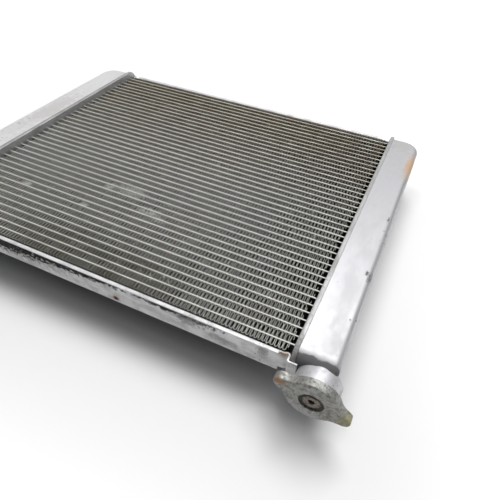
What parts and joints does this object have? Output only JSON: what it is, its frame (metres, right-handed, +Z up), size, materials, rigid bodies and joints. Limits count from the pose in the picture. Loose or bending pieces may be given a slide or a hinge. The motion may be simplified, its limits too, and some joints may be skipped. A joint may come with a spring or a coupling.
{
  "type": "engine radiator",
  "caption": "All-aluminium crossflow engine radiator with folded fins between flat tubes, side tanks, hose pipes, mounting rails and a filler neck with a pressure cap.",
  "frame": {"origin": "on the floor, under the middle of the bounding box", "axes": "+X along the tubes towards the tank with the filler neck, +Y along the tanks away from the cap, +Z up through the core's thickness, as it lies on its rear mounting rails"},
  "size_m": [0.568, 0.447, 0.0827],
  "materials": {
    "tube_aluminium": "brazed mill finish",
    "fin_aluminium": "thin folded strip, dusty and lightly corroded",
    "header_aluminium": "brazed, slightly grainy",
    "tank_aluminium": "satin, with faint stains",
    "side_aluminium": "satin, with black scuffs and dirt",
    "rail_aluminium": "mill finish",
    "pipe_aluminium": "turned, satin",
    "zinc_plated_steel": "dull zinc plate with rust on the ears",
    "spring_steel": "bright",
    "valve_brass": "dull",
    "seal_rubber": "matt"
  },
  "bodies": {
    "radiator": {"tube_01": "tube_aluminium", "tube_02": "tube_aluminium", "tube_03": "tube_aluminium", "tube_04": "tube_aluminium", "tube_05": "tube_aluminium", "tube_06": "tube_aluminium", "tube_07": "tube_aluminium", "tube_08": "tube_aluminium", "tube_09": "tube_aluminium", "tube_10": "tube_aluminium", "tube_11": "tube_aluminium", "tube_12": "tube_aluminium", "tube_13": "tube_aluminium", "tube_14": "tube_aluminium", "tube_15": "tube_aluminium", "tube_16": "tube_aluminium", "tube_17": "tube_aluminium", "tube_18": "tube_aluminium", "tube_19": "tube_aluminium", "tube_20": "tube_aluminium", "tube_21": "tube_aluminium", "tube_22": "tube_aluminium", "tube_23": "tube_aluminium", "tube_24": "tube_aluminium", "tube_25": "tube_aluminium", "tube_26": "tube_aluminium", "tube_27": "tube_aluminium", "tube_28": "tube_aluminium", "tube_29": "tube_aluminium", "tube_30": "tube_aluminium", "tube_31": "tube_aluminium", "tube_32": "tube_aluminium", "tube_33": "tube_aluminium", "tube_34": "tube_aluminium", "tube_35": "tube_aluminium", "tube_36": "tube_aluminium", "tube_37": "tube_aluminium", "tube_38": "tube_aluminium", "tube_39": "tube_aluminium", "tube_40": "tube_aluminium", "fin_ribbons": "fin_aluminium", "header_plate_right": "header_aluminium", "header_plate_left": "header_aluminium", "tank_right": "tank_aluminium", "tank_left": "tank_aluminium", "side_plate_near": "side_aluminium", "side_plate_far": "side_aluminium", "mounting_rail_right": "rail_aluminium", "mounting_rail_left": "rail_aluminium", "inlet_pipe": "pipe_aluminium", "outlet_pipe": "pipe_aluminium", "filler_neck": "pipe_aluminium", "overflow_nipple": "pipe_aluminium"},
    "cap": {"cap_shell": "zinc_plated_steel", "locking_disc": "spring_steel", "valve_bell": "zinc_plated_steel", "pressure_spring": "spring_steel"},
    "pressure_valve_body": {"pressure_valve": "valve_brass", "pressure_seal": "seal_rubber"},
    "vacuum_valve_body": {"vacuum_valve": "valve_brass"}
  },
  "joints": [
    {"name": "cap_turn", "type": "hinge", "parent": "radiator", "child": "cap", "pos_m": [0.24829, -0.22353, 0.058], "axis": [0, -1, 0], "range_deg": [0, 90]},
    {"name": "pressure_valve_lift", "type": "slide", "parent": "cap", "child": "pressure_valve_body", "axis": [0, -1, 0], "range_m": [0, 0.003], "stiffness_N_per_m": 6000, "deforming": ["pressure_spring"]},
    {"name": "vacuum_valve_drop", "type": "slide", "parent": "pressure_valve_body", "child": "vacuum_valve_body", "axis": [0, 1, 0], "range_m": [0, 0.0015]}
  ]
}
